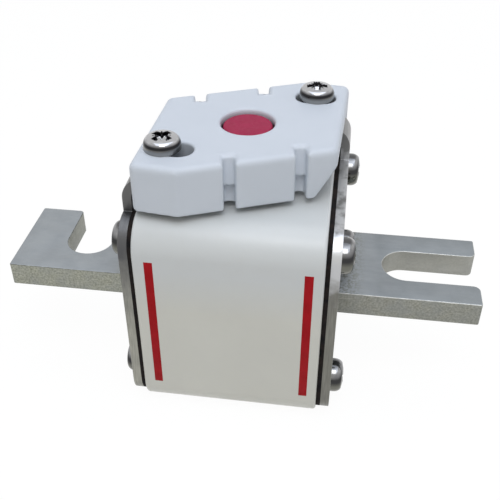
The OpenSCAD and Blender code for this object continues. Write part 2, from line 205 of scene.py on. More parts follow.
class Shader(Nodes):
    """A material's node tree around one Principled shader, with patterns on Object coordinates."""

    def __init__(self, name: str) -> None:
        """Start an empty material.

        Args:
            name: Name of the material.
        """
        self.material = bpy.data.materials.new(name)
        self.material.use_nodes = True
        super().__init__(self.material.node_tree)
        self.surface = self.tree.nodes["Principled BSDF"]
        self.place = self.add("TexCoord").outputs["Object"]

    def fix(self, **values: Socket | float | tuple) -> None:
        """Fill inputs of the Principled shader."""
        self.fill(self.surface, **values)

    def noise(self, size: float, detail: float = 3.0, stretch: Point = (1, 1, 1)) -> Socket:
        """Add a cloudy pattern.

        Args:
            size: Size of one cloud in metres.
            detail: How many finer layers it has.
            stretch: How much longer the clouds are along X, Y and Z.

        Returns:
            The pattern's value, near 0.5 with swings either way.
        """
        scale = tuple(1.0 / (size * s) for s in stretch)
        vector = self.add("Mapping", Vector=self.place, Scale=scale).outputs["Vector"]
        return self.add("TexNoise", Vector=vector, Scale=1.0, Detail=detail).outputs["Fac"]

    def mix(self, share: Socket, first: Colour | Socket, second: Colour | Socket) -> Socket:
        """Blend two colours.

        Args:
            share: How much of the second colour shows.
            first: A colour, or a socket that gives one.
            second: A colour, or a socket that gives one.

        Returns:
            The blended colour.
        """
        node = self.add("Mix")
        node.data_type = "RGBA"
        sockets = {s.identifier: s for s in node.inputs}
        for key, value in (("Factor_Float", share), ("A_Color", first), ("B_Color", second)):
            self.feed(sockets[key], (*value, 1.0) if isinstance(value, tuple) else value)
        return next(s for s in node.outputs if s.identifier == "Result_Color")

    def facing(self, axis: str) -> Socket:
        """Find which way faces look.

        Args:
            axis: One of X, Y and Z.

        Returns:
            1 on faces that look along the axis, 0 on those square to it and -1 on those that look back.
        """
        return self.add("SeparateXYZ", Vector=self.add("NewGeometry").outputs["Normal"]).outputs[axis]

    def along(self, axis: str) -> Socket:
        """Find where points lie.

        Args:
            axis: One of X, Y and Z.

        Returns:
            The place along the axis, in metres.
        """
        return self.add("SeparateXYZ", Vector=self.place).outputs[axis]

    def size_of(self, value: Socket) -> Socket:
        """Give a value without its sign."""
        return self.combine(value, 0.0, "ABSOLUTE")

    def openness(self, reach: float, samples: int = 8) -> Socket:
        """Find hollows, which little light reaches.

        Args:
            reach: How far away a wall may be that still darkens, in metres.
            samples: Rays that look for walls.

        Returns:
            1 in the open and less in a hollow.
        """
        node = self.add("AmbientOcclusion", Distance=reach)
        node.samples = samples
        node.only_local = True
        return node.outputs["AO"]

    def bump(self, height: Socket, depth: float) -> None:
        """Wire a height pattern to the shader's normal.

        Args:
            height: The pattern.
            depth: Its depth in metres.
        """
        node = self.add("Bump", Height=height, Distance=depth, Strength=1.0)
        self.fix(Normal=node.outputs["Normal"])


@dataclass(frozen=True)
class Finish:
    """A surface with two close tones in clouds, uneven gloss and a fine grain."""

    name: str
    tone: Colour
    other_tone: Colour
    rough: Span
    metallic: float = 0.0
    cloud: float = 6 * MM
    grain: float = 0.25 * MM
    grain_depth: float = 0.01 * MM
    specular: float = 0.5

    def start(self) -> Shader:
        """Make a node tree that has the finish's constants.

        Returns:
            The material's shader.
        """
        made = Shader(self.name)
        made.fix(Metallic=self.metallic, Specular_IOR_Level=self.specular)
        return made

    def base(self, made: Shader) -> Socket:
        """Blend the two tones in clouds."""
        return made.mix(made.ramp(made.noise(self.cloud, 4.0), *SOFT_SPAN), self.tone, self.other_tone)

    def shader(self) -> Shader:
        """Make the node tree of this finish.

        Returns:
            The material's shader.
        """
        made = self.start()
        gloss = made.ramp(made.noise(self.cloud / 3, 4.0), *WIDE_SPAN, *self.rough)
        made.fix(Base_Color=self.base(made), Roughness=gloss)
        made.bump(made.noise(self.grain, 2.0), self.grain_depth)
        return made

    def material(self) -> bpy.types.Material:
        """Make the finished material."""
        return self.shader().material


@dataclass(frozen=True)
class BladePlating(Finish):
    """Matt plating on flat faces, a coarse tumbled grain on the sheared ones and a painted reflection along
    the edges.

    The sheared faces of the slot, past inner_from, carry painted light and shade of their own, and so do the
    flat faces near the fuse's body, which are stained there too.
    """

    metallic: float = 1.0
    cloud: float = 5 * MM
    grain: float = 0.3 * MM
    grain_depth: float = 0.03 * MM
    grain_share: float = 0.22
    gloss_stretch: Point = (3.0, 1.0, 1.0)
    flat_span: Span = (0.6, 0.9)
    side_tone: Colour = (0.46, 0.465, 0.39)
    side_dark: Colour = (0.215, 0.22, 0.185)
    side_grain: float = 0.5 * MM
    side_cloud: float = 4 * MM
    side_cloud_share: float = 0.35
    # Painted light and shade on the slot's sheared faces past inner_from, where the front prong shades the
    # far wall.
    slot_wall_painted_tone: Colour = (0.40, 0.405, 0.37)
    inner_from: float = -11.5 * MM
    inner_to: float = -8.5 * MM
    slot_wall_painted_share: float = 0.7
    # Painted light and shade near the body: lighter on the right blade against the shade that falls there,
    # darker on the left.
    near_body_painted_tone: Colour = (0.262, 0.27, 0.272)
    near_body_painted_span: Span = (25 * MM, 33 * MM)
    stain_reach: Span = (26 * MM, 30 * MM)
    stain_span: Span = (0.42, 0.6)
    stain_share: float = 0.75
    # Painted reflection along the rounded edges: dark on the left blade, a painted highlight on the right.
    edge_reflection_tone: Colour = (0.1, 0.1, 0.09)
    line_rise: Span = (0.1, 0.35)
    line_fall: Span = (0.97, 0.85)
    line_break: float = 1.2 * MM
    line_break_span: Span = (0.3, 0.6)
    edge_reflection_share: Span = (0.2, 0.8)

    def shader(self) -> Shader:
        """Make the node tree of this finish.

        Returns:
            The material's shader.
        """
        made = self.start()
        steep = made.size_of(made.facing("Z"))
        flat = made.ramp(steep, *self.flat_span)
        pits = made.noise(self.side_grain, 3.0)
        from_middle = made.size_of(made.along("X"))
        near = made.ramp(from_middle, *self.stain_reach, self.stain_share, 0.0)
        stain = made.combine(made.ramp(pits, *self.stain_span), near, "MULTIPLY")
        # Painted light and shade on the flat faces near the body.
        top = made.mix(made.ramp(from_middle, *self.near_body_painted_span), self.near_body_painted_tone, self.base(made))
        top = made.mix(stain, top, self.side_dark)
        side = made.mix(made.ramp(pits, *WIDE_SPAN), self.side_dark, self.side_tone)
        broad = made.ramp(made.noise(self.side_cloud, 3.0), *SOFT_SPAN, 0.0, self.side_cloud_share)
        side = made.mix(broad, side, self.other_tone)
        # Painted light and shade on the slot's sheared faces.
        inner = made.ramp(made.along("Y"), self.inner_from, self.inner_to, 0.0, self.slot_wall_painted_share)
        side = made.mix(inner, side, self.slot_wall_painted_tone)
        # Painted reflection on the rounded edges, broken in places.
        edge = made.combine(made.ramp(steep, *self.line_rise), made.ramp(steep, *self.line_fall), "MULTIPLY")
        broken = made.ramp(made.noise(self.line_break, 3.0), *self.line_break_span, *self.edge_reflection_share)
        edge_reflection = made.combine(edge, broken, "MULTIPLY")
        gloss = made.noise(self.cloud / 4, 3.0, self.gloss_stretch)
        made.fix(Base_Color=made.mix(edge_reflection, made.mix(flat, side, top), self.edge_reflection_tone),
                 Roughness=made.ramp(gloss, *WIDE_SPAN, *self.rough))
        fine = made.combine(made.noise(self.grain, 2.0), self.grain_share, "MULTIPLY")
        pitted = made.combine(made.ramp(flat, 0.0, 1.0, 1.0, 0.0), near, "MAXIMUM")
        made.bump(made.combine(fine, made.combine(pits, pitted, "MULTIPLY")), self.grain_depth)
        return made


@dataclass(frozen=True)
class BrushedPlate(Finish):
    """Sheet metal with brushing along Z and Y and darker handled patches.

    Its rim carries painted reflections of what lies round it, so its tone there changes with height; the
    broad faces are even.
    """

    metallic: float = 1.0
    grain_depth: float = 0.012 * MM
    stroke: float = 0.3 * MM
    stroke_stretch: Point = (1.0, 14.0, 14.0)
    broad: Colour = (0.33, 0.332, 0.336)
    broad_dark: Colour = (0.27, 0.272, 0.276)
    broad_span: Span = (0.6, 0.9)
    patch: Colour = (0.12, 0.12, 0.12)
    patch_size: float = 9 * MM
    patch_span: Span = (0.5, 0.72)
    patch_share: float = 0.3
    # Painted reflections on the rim: one tone on its higher part and one on the lug, by height.
    upper_lighting: Colour = (0.3, 0.3, 0.3)
    upper_lighting_span: Span = (26 * MM, 42 * MM)
    lug: Colour = (0.14, 0.14, 0.137)
    lug_lighting_span: Span = (51 * MM, 54 * MM)
    waver: float = 3 * MM

    def shader(self) -> Shader:
        """Make the node tree of this finish.

        Returns:
            The material's shader.
        """
        made = self.start()
        strokes = made.noise(self.stroke, 3.0, self.stroke_stretch)
        brushed = made.ramp(strokes, *WIDE_SPAN)
        waver = made.ramp(made.noise(self.waver), *WIDE_SPAN, -self.waver, self.waver)
        height = made.combine(made.along("Z"), waver)
        rim = made.mix(brushed, self.tone, self.other_tone)
        # Painted reflections on the rim, by height.
        rim = made.mix(made.ramp(height, *self.upper_lighting_span), rim, self.upper_lighting)
        rim = made.mix(made.ramp(height, *self.lug_lighting_span), rim, self.lug)
        broad = made.ramp(made.size_of(made.facing("X")), *self.broad_span)
        tone = made.mix(broad, rim, made.mix(brushed, self.broad, self.broad_dark))
        stains = made.ramp(made.noise(self.patch_size, 4.0), *self.patch_span, 0.0, self.patch_share)
        made.fix(Base_Color=made.mix(stains, tone, self.patch),
                 Roughness=made.ramp(strokes, *WIDE_SPAN, *self.rough))
        made.bump(made.combine(strokes, made.noise(self.grain, 3.0)), self.grain_depth)
        return made


@dataclass(frozen=True)
class Glaze(Finish):
    """Smooth ceramic with a thin clear skin and faint clouds of two sizes, with painted cool light on its
    higher part.
    """

    coat: float = 0.2
    coat_rough: float = 0.3
    # Painted light: the cool tint of light from above on the body's higher part.
    upper_lighting: Colour = (0.663, 0.678, 0.668)
    upper_lighting_span: Span = (31 * MM, 42 * MM)
    warm: Colour = (0.6, 0.585, 0.55)
    warm_cloud: float = 2.5 * MM
    warm_span: Span = (0.5, 0.75)
    warm_share: float = 0.12

    def base(self, made: Shader) -> Socket:
        """Paint cool light on the higher part and lay warm grime over all.

        Args:
            made: The shader that the nodes go into.

        Returns:
            The colour.
        """
        painted_cool_light = made.mix(made.ramp(made.along("Z"), *self.upper_lighting_span), super().base(made), self.upper_lighting)
        grime = made.ramp(made.noise(self.warm_cloud, 5.0), *self.warm_span, 0.0, self.warm_share)
        return made.mix(grime, painted_cool_light, self.warm)

    def shader(self) -> Shader:
        """Make the node tree of this finish.

        Returns:
            The material's shader.
        """
        made = super().shader()
        made.fix(Coat_Weight=self.coat, Coat_Roughness=self.coat_rough)
        return made


@dataclass(frozen=True)
class Polished(Finish):
    """Bright plated metal whose hollows carry painted shade.

    Its tone follows the slope as painted reflections on polished heads in a dark room: pale on faces that
    look level or down to the table, dark just above that, mid grey further up and the crown's own tone on
    top.
    """

    metallic: float = 1.0
    cloud: float = 1.5 * MM
    grain_depth: float = 0.003 * MM
    # Painted shade: the hollow tone goes where the occlusion test finds walls close by.
    hollow: Colour = (0.1, 0.1, 0.104)
    hollow_shade_reach: float = 1.2 * MM
    hollow_shade_span: Span = (0.05, 0.4)
    # Painted reflections by slope: the pale foot is the table seen in level and downward faces, the dark tone
    # after it the room just above, and the crown tone the room overhead.
    foot: Colour = (0.36, 0.36, 0.35)
    dark_band_reflection: Colour = (0.025, 0.025, 0.027)
    dark_band_reflection_span: Span = (-0.05, 0.25)
    mid_reflection_span: Span = (0.42, 0.72)
    crown: Colour = (0.3, 0.3, 0.31)
    crown_reflection_span: Span = (0.84, 0.95)

    def base(self, made: Shader) -> Socket:
        """Lay painted reflections over the slopes and painted shade in the hollows.

        Args:
            made: The shader that the nodes go into.

        Returns:
            The colour.
        """
        # Painted reflections: each face takes the tone of its slope.
        up = made.facing("Z")
        low = made.mix(made.ramp(up, *self.dark_band_reflection_span), self.foot, self.dark_band_reflection)
        side = made.mix(made.ramp(up, *self.mid_reflection_span), low, super().base(made))
        painted_reflection = made.mix(made.ramp(up, *self.crown_reflection_span), side, self.crown)
        # Painted shade in the hollows, found by the occlusion test.
        lit = made.ramp(made.openness(self.hollow_shade_reach), *self.hollow_shade_span)
        return made.mix(lit, self.hollow, painted_reflection)


class Finishes(Enum):
    """Every finish of the fuse."""

    CERAMIC = Glaze("glazed_ceramic", (0.693, 0.682, 0.61), (0.663, 0.652, 0.583), (0.34, 0.44),
                    cloud=22 * MM, grain=0.8 * MM, grain_depth=0.006 * MM)
    INK = Finish("stripe_ink", (0.425, 0.0065, 0.0125), (0.36, 0.005, 0.009), (0.5, 0.62),
                 cloud=3 * MM, specular=0.12)
    GASKET = Finish("gasket_fibre", (0.004, 0.004, 0.005), (0.018, 0.013, 0.011), (0.7, 0.9),
                    cloud=2 * MM, grain=0.2 * MM, grain_depth=0.05 * MM, specular=0.15)
    # The two plates are one nickel in two copies, whose rim tones, higher parts and lugs are painted
    # reflections for each end.
    PLATE_LEFT = BrushedPlate("nickel_plate_left", (0.38, 0.377, 0.33), (0.275, 0.273, 0.24), (0.34, 0.5),
                              upper_lighting=(0.1, 0.1, 0.104), upper_lighting_span=(26 * MM, 47 * MM),
                              lug=(0.13, 0.13, 0.129))
    PLATE_RIGHT = BrushedPlate("nickel_plate_right", (0.215, 0.212, 0.188), (0.16, 0.158, 0.14),
                               (0.3, 0.42), upper_lighting=(0.5, 0.505, 0.515), upper_lighting_span=(37 * MM, 43 * MM),
                               lug=(0.2, 0.2, 0.198))
    # The two blades are one plating in two copies whose tones carry painted light and shade for each end.
    BLADE_LEFT = BladePlating("silver_plating_edge_dark_reflection", (0.318, 0.337, 0.35), (0.286, 0.304, 0.318),
                              (0.5, 0.62))
    BLADE_RIGHT = BladePlating("silver_plating_edge_highlight", (0.268, 0.286, 0.297), (0.24, 0.258, 0.268),
                               (0.5, 0.62), side_tone=(0.37, 0.37, 0.325),
                               side_dark=(0.205, 0.207, 0.178), slot_wall_painted_tone=(0.40, 0.40, 0.37),
                               near_body_painted_tone=(0.37, 0.39, 0.405), edge_reflection_tone=(0.62, 0.62, 0.6))
    # The cover screws and the end screws are one plating in two copies, whose slope tones are painted
    # reflections for how each set lies.
    COVER_SCREW = Polished("bright_cover_screw", (0.52, 0.52, 0.53), (0.36, 0.36, 0.37), (0.1, 0.16),
                           crown=(0.44, 0.44, 0.45))
    END_SCREW = Polished("bright_end_screw", (0.33, 0.33, 0.334), (0.23, 0.23, 0.235), (0.1, 0.16),
                         foot=(0.15, 0.15, 0.13), dark_band_reflection=(0.045, 0.045, 0.046),
                         crown=(0.1, 0.101, 0.103))
    COVER = Finish("cover_moulding", (0.66, 0.70, 0.755), (0.645, 0.685, 0.74), (0.42, 0.52),
                   cloud=9 * MM, grain=0.35 * MM, grain_depth=0.012 * MM)
    CUP = Finish("cup_moulding", (0.6, 0.62, 0.65), (0.56, 0.58, 0.6), (0.4, 0.5))
    BUTTON = Finish("button_moulding", (0.37, 0.015, 0.067), (0.33, 0.012, 0.057), (0.45, 0.58),
                    cloud=2.5 * MM, grain=0.3 * MM, grain_depth=0.02 * MM, specular=0.25)
    SPRING = Finish("spring_wire", (0.4, 0.4, 0.42), (0.3, 0.3, 0.32), (0.25, 0.4), 1.0, cloud=1 * MM)
    COPPER = Finish("bare_copper", (0.72, 0.36, 0.22), (0.6, 0.28, 0.16), (0.3, 0.5), 1.0)
    SILVER = Finish("silver_strip", (0.8, 0.79, 0.77), (0.7, 0.69, 0.67), (0.3, 0.45), 1.0)
    SAND = Finish("quartz_sand", (0.6, 0.54, 0.42), (0.42, 0.36, 0.27), (0.85, 1.0), cloud=0.4 * MM,
                  grain=0.35 * MM, grain_depth=0.2 * MM)
    WIRE = Finish("release_wire", (0.5, 0.42, 0.28), (0.4, 0.34, 0.22), (0.3, 0.45), 1.0, cloud=1 * MM)


class Paints:
    """Makes each material once and keeps it."""

    def __init__(self) -> None:
        """Start with no material."""
        self.made: dict[Finishes, bpy.types.Material] = {}

    def dress(self, piece: Piece, finish: Finishes) -> None:
        """Give a piece one finish all over, whose material is made at its first use.

        Args:
            piece: The object to dress.
            finish: Its finish.
        """
        if finish not in self.made:
            self.made[finish] = finish.value.material()
        piece.data.materials.clear()
        piece.data.materials.append(self.made[finish])

    def dress_solid(self, node: str, finish: Finishes) -> None:
        """Give a CAD node's own solid one finish all over."""
        self.dress(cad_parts[node], finish)


PAINTS = Paints()


# Meshes


def grid_mesh(name: str, points: np.ndarray, round_u: bool, round_v: bool, caps: bool = False) -> Mesh:
    """Join a grid of points into a mesh of four-sided faces.

    Face (i, j) joins points (i, j), (i+1, j), (i+1, j+1) and (i, j+1), counted round where a side closes.

    Args:
        name: Name of the mesh.
        points: Places in metres, an array of u by v by 3.
        round_u: Whether the last row joins the first.
        round_v: Whether the last column joins the first.
        caps: Whether the first and last column each become one flat face.

    Returns:
        The mesh, with poles merged and faces pointing outwards.
    """
    nu, nv = points.shape[:2]
    i, j = np.meshgrid(np.arange(nu - (not round_u)), np.arange(nv - (not round_v)), indexing="ij")
    i, j = i.ravel(), j.ravel()
    i2, j2 = (i + 1) % nu, (j + 1) % nv
    loops = np.stack([i * nv + j, i2 * nv + j, i2 * nv + j2, i * nv + j2], 1).astype(np.int32)
    mesh = bpy.data.meshes.new(name)
    mesh.vertices.add(nu * nv)
    mesh.vertices.foreach_set("co", points.reshape(-1).astype(np.float32))
    mesh.loops.add(loops.size)
    mesh.loops.foreach_set("vertex_index", loops.ravel())
    mesh.polygons.add(len(loops))
    mesh.polygons.foreach_set("loop_start", np.arange(0, loops.size, 4, dtype=np.int32))
    mesh.update(calc_edges=True)
    work = bmesh.new()
    work.from_mesh(mesh)
    work.verts.ensure_lookup_table()
    if caps:
        for column in (0, nv - 1):
            work.faces.new([work.verts[row * nv + column] for row in range(nu)])
    bmesh.ops.remove_doubles(work, verts=work.verts, dist=MERGE_GRID)
    bmesh.ops.recalc_face_normals(work, faces=work.faces)
    work.to_mesh(mesh)
    work.free()
    return mesh


def add_piece(mesh: Mesh, finish: Finishes, body: str = ROOT, sharp: float = SHARP_ANGLE) -> Piece:
    """Put a mesh into the scene as a piece that rides on a body.

    Args:
        mesh: The mesh, with its place in its points.
        finish: The finish all over it.
        body: The CAD body it moves with.
        sharp: Angle in degrees past which an edge is shaded sharp.

    Returns:
        The piece.
    """
    piece = placed(mesh.name, mesh)
    mesh.polygons.foreach_set("use_smooth", np.ones(len(mesh.polygons), bool))
    mesh.set_sharp_from_angle(angle=math.radians(sharp))
    PAINTS.dress(piece, finish)
    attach(piece, body)
    LOG.info("%s: %d faces", piece.name, len(mesh.polygons))
    return piece


def cad_mesh(node: str, flats: bool = False) -> Mesh:
    """Copy a CAD node's mesh and merge its double points.

    Args:
        node: The CAD node.
        flats: Whether triangles in one plane become one face.

    Returns:
        The copy.
    """
    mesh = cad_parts[node].data.copy()
    work = bmesh.new()
    work.from_mesh(mesh)
    bmesh.ops.remove_doubles(work, verts=work.verts, dist=MERGE_CAD)
    if flats:
        flat = math.radians(FLAT_ANGLE)
        bmesh.ops.dissolve_limit(work, angle_limit=flat, verts=work.verts, edges=work.edges)
    work.to_mesh(mesh)
    work.free()
    return mesh


def softened_copy(node: str, finish: Finishes, width: float) -> Piece:
    """Copy a CAD node, merge its triangles into flats and round its sharp edges.

    Args:
        node: The CAD node that the copy replaces.
        finish: The finish all over it.
        width: Width of the rounding in metres.

    Returns:
        The piece, which stands for the node.
    """
    mesh = cad_mesh(node, flats=True)
    mesh.name = node + "_shell"
    piece = add_piece(mesh, finish)
    bevel = piece.modifiers.new("edges", "BEVEL")
    bevel.width = width
    bevel.segments = BEVEL_STEPS
    bevel.limit_method = "ANGLE"
    bevel.angle_limit = math.radians(SHARP_ANGLE)
    bevel.harden_normals = True
    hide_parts(node)
    return piece


def relax(piece: Piece, passes: int) -> None:
    """Move each point half way to the mean of its neighbours, once in every pass.

    Args:
        piece: The object whose shown shape is relaxed.
        passes: How often.
    """
    smooth = piece.modifiers.new("relax", "SMOOTH")
    smooth.factor = 0.5
    smooth.iterations = passes


def moulded_copy(node: str, finish: Finishes, voxel: float, passes: int) -> Piece:
    """Copy a CAD node as a moulding whose edges and corners, the inner ones too, are all round.

    The copy is meshed anew in even cells and then relaxed, which rounds an edge to about the cell size times
    the root of half the passes.

    Args:
        node: The CAD node that the copy replaces.
        finish: The finish all over it.
        voxel: Cell size in metres.
        passes: How often the points are relaxed.

    Returns:
        The piece, which stands for the node.
    """
    shape = placed("shape", cad_mesh(node))
    cells = shape.modifiers.new("cells", "REMESH")
    cells.mode = "VOXEL"
    cells.voxel_size = voxel
    relax(shape, passes)
    whole = bpy.data.meshes.new_from_object(shape.evaluated_get(bpy.context.evaluated_depsgraph_get()))
    bpy.data.objects.remove(shape)
    whole.name = node + "_moulding"
    piece = add_piece(whole, finish, sharp=NO_SHARP_ANGLE)
    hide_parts(node)
    return piece


def revolve(name: str, profile: np.ndarray, centre: np.ndarray, turns: int) -> Mesh:
    """Turn a profile about an upright axis.

    The point at angle a and profile step k is (r cos a, r sin a, z) with (r, z) the profile's step k.

    Args:
        name: Name of the mesh.
        profile: Radius and height of each step in metres, from pole to pole.
        centre: Where the axis meets height 0.
        turns: Steps round the axis.

    Returns:
        The closed mesh.
    """
    a = np.linspace(0, 2 * np.pi, turns, endpoint=False)[:, None]
    r, z = profile[None, :, 0], profile[None, :, 1]
    points = np.stack([r * np.cos(a), r * np.sin(a), z + 0 * a], -1) + centre
    return grid_mesh(name, points, True, False)


def arc(cx: float, cy: float, r: float, start: float, end: float, steps: int = 8) -> np.ndarray:
    """Give points along an arc.

    Args:
        cx: First coordinate of the centre.
        cy: Second coordinate of the centre.
        r: Radius.
        start: First angle in degrees.
        end: Last angle in degrees.
        steps: How many points after the first.

    Returns:
        An array of steps + 1 by 2.
    """
    a = np.radians(np.linspace(start, end, steps + 1))
    return np.stack([cx + r * np.cos(a), cy + r * np.sin(a)], 1)


def rounded_slab(name: str, outline: np.ndarray, low: float, high: float, edge: float,
                 steps: int = 4) -> Mesh:
    """Carry a flat outline up through a slab whose long edges are rounded.

    Level k of a rounded edge lies at edge (1 - cos t) inside the outline and edge (1 - sin t) from the face.

    Args:
        name: Name of the mesh.
        outline: Points in X and Y, anticlockwise.
        low: Height of the underside.
        high: Height of the top.
        edge: Radius of the rounded edges.
        steps: Steps of each rounded edge.

    Returns:
        The closed mesh.
    """
    after = np.roll(outline, -1, 0) - outline
    after /= np.linalg.norm(after, axis=1, keepdims=True)
    before = np.roll(after, 1, 0)
    n1 = np.stack([-before[:, 1], before[:, 0]], 1)
    n2 = np.stack([-after[:, 1], after[:, 0]], 1)
    inward = (n1 + n2) / (1 + np.sum(n1 * n2, 1, keepdims=True))
    t = np.linspace(0, np.pi / 2, steps + 1)
    inset = np.concatenate([edge * (1 - np.sin(t)), edge * (1 - np.cos(t))])
    height = np.concatenate([low + edge * (1 - np.cos(t)), high - edge * (1 - np.sin(t))])
    flat = outline[:, None, :] + inward[:, None, :] * inset[None, :, None]
    tall = np.broadcast_to(height[None, :, None], (*flat.shape[:2], 1))
    return grid_mesh(name, np.concatenate([flat, tall], -1), True, False, caps=True)


def joined(name: str, parts: list[Mesh]) -> Mesh:
    """Join closed meshes into one.

    Args:
        name: Name of the whole.
        parts: The meshes, which are removed.

    Returns:
        The whole mesh.
    """
    work = bmesh.new()
    for part in parts:
        work.from_mesh(part)
        bpy.data.meshes.remove(part)
    whole = bpy.data.meshes.new(name)
    work.to_mesh(whole)
    work.free()
    return whole


# Sub-assemblies


@dataclass
class CeramicBody:
    """The square ceramic tube with its printed stripes."""

    edge_r: float = 7.4 * MM
    end_round: float = 0.6 * MM
    chamber_r: float = 20.5 * MM
    stripe_at: float = 17.1 * MM
    stripe_shift: float = 0.2 * MM
    stripe_w: float = 1.9 * MM
    stripe_l: float = 35.6 * MM
    ink_t: float = 0.02 * MM
    skin: float = 0.03 * MM
    turns: int = 384
    end_steps: int = 6

    def tube(self) -> None:
        """Build the tube as one closed surface.

        At angle a round X the outer skin is the rounded square: the point of the corner circle or flat in
        that direction. The second direction runs along the outside, in over the end face, back through
        the round chamber and out again.
        """
        low, high = corners("ceramic_body")
        centre, half_l, half = (low + high) / 2, (high[0] - low[0]) / 2, (high[2] - low[2]) / 2 - self.skin
        c = half - self.edge_r
        a = np.linspace(0, 2 * np.pi, self.turns, endpoint=False)
        direction = np.stack([np.cos(a), np.sin(a)], 1)
        along = np.abs(direction)
        flat_r = half / along.max(1)
        b = c * along.sum(1)
        corner_r = b + np.sqrt(np.maximum(b**2 - 2 * c**2 + self.edge_r**2, 0))
        outer = np.where((flat_r[:, None] * along).min(1) > c, corner_r, flat_r)
        t = np.linspace(0, np.pi / 2, self.end_steps)
        inset = self.end_round * (1 - np.cos(t))
        out = half_l - self.end_round * (1 - np.sin(t))
        x = np.concatenate([-out[::-1], out, [half_l], [-half_l]])
        skin = np.concatenate([inset[::-1], inset])[None, :]
        r = np.concatenate([outer[:, None] - skin, np.full((len(a), 2), self.chamber_r)], 1)
        points = np.stack([np.broadcast_to(x, r.shape), r * direction[:, :1], r * direction[:, 1:]], -1)
        piece = add_piece(grid_mesh("ceramic_tube", points + centre, True, True), Finishes.CERAMIC)
        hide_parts("ceramic_body")

    def stripes(self) -> None:
        """Print one upright red stripe near each end of the front face.

        The skin lies a little inside the CAD's face, so that the ink on it stays within the CAD's box.
        """
        low, high = corners("ceramic_body")
        middle = (low[2] + high[2]) / 2 + self.stripe_shift
        w, h = self.stripe_w / 2, self.stripe_l / 2
        outline = np.array([[-w, -h], [w, -h], [w, h], [-w, h]])
        for side, name in ((-1, "stripe_left"), (1, "stripe_right")):
            mesh = rounded_slab(name, outline, 0.0, 2 * self.ink_t, self.ink_t / 2, steps=2)
            x = side * self.stripe_at + self.stripe_shift
            shift = Matrix.Translation((x, low[1] + self.skin + self.ink_t, middle))
            mesh.transform(shift @ Matrix.Rotation(math.pi / 2, 4, "X"))
            add_piece(mesh, Finishes.INK)

    def build(self) -> None:
        """Build the body and print it."""
        self.tube()
        self.stripes()


class Side(Enum):
    """The two ends of the fuse, with the turn about Z that carries the right end there."""

    LEFT = math.pi
    RIGHT = 0.0

    @property
    def word(self) -> str:
        """The end's name in node names."""
        return self.name.lower()


@dataclass
class EndPlate:
    """An end plate with its lug, and the gasket under it."""

    side: Side
    finish: Finishes
    edge: float = 0.25 * MM

    def build(self) -> None:
        """Build the plate and dress the gasket."""
        plate = softened_copy("end_plate_" + self.side.word, self.finish, self.edge)
        PAINTS.dress_solid("gasket_" + self.side.word, Finishes.GASKET)


@dataclass
class Blade:
    """A blade contact: a thick bar with rounded edges, a bolt slot and a tang through the end plate."""

    side: Side
    finish: Finishes
    slot_r: float = 5.7 * MM
    slot_x: float = 39.3 * MM
    slot_steps: int = 40
    tip_r: float = 0.5 * MM
    end_mouth_r: float = 1.6 * MM
    side_mouth_r: float = 1.0 * MM
    edge: float = 0.22 * MM
    shoulder: float = 0.5 * MM
    tang_lap: float = 1 * MM

    def outline(self, x0: float, x1: float, half: float) -> np.ndarray:
        """Draw the bar with its slot, open at the end on the right blade and to one long edge on the left.

        Args:
            x0: Where the bar starts.
            x1: Where it ends.
            half: Half its width.

        Returns:
            The outline, anticlockwise.
        """
        x, r, s = self.slot_x, self.tip_r, self.slot_r
        near, far = arc(x1 - r, r - half, r, -90, 0), arc(x1 - r, half - r, r, 0, 90)
        if self.side is Side.RIGHT:
            m = self.end_mouth_r
            parts = [near, arc(x1 - m, -s - m, m, 0, 90), arc(x, 0, s, -90, -270, self.slot_steps),
                     arc(x1 - m, s + m, m, -90, 0), far]
        else:
            m = self.side_mouth_r
            parts = [arc(x - s - m, m - half, m, -90, 0), arc(x, 0, s, 180, 0, self.slot_steps),
                     arc(x + s + m, m - half, m, 180, 270), near, far]
        return np.concatenate([[[x0, -half]], *parts, [[x0, half]]])

    def build(self) -> None:
        """Build the blade where its CAD node lies."""
        node = "blade_" + self.side.word
        low, high = corners(node)
        plate = np.abs([corner[0] for corner in corners("end_plate_" + self.side.word)]).max()
        inner, tip = sorted(np.abs([low[0], high[0]]))
        half, tuck = (high[1] - low[1]) / 2, self.shoulder
        bar = rounded_slab("bar", self.outline(plate, tip, half), low[2], high[2], self.edge)
        x1, y = plate + self.tang_lap, half - tuck
        tang = rounded_slab("tang", np.array([[inner, -y], [x1, -y], [x1, y], [inner, y]]),
                            low[2] + tuck, high[2] - tuck, self.edge)
        mesh = joined("contact_" + self.side.word, [bar, tang])
        mesh.transform(Matrix.Rotation(self.side.value, 4, "Z"))
        piece = add_piece(mesh, self.finish)
        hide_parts(node)


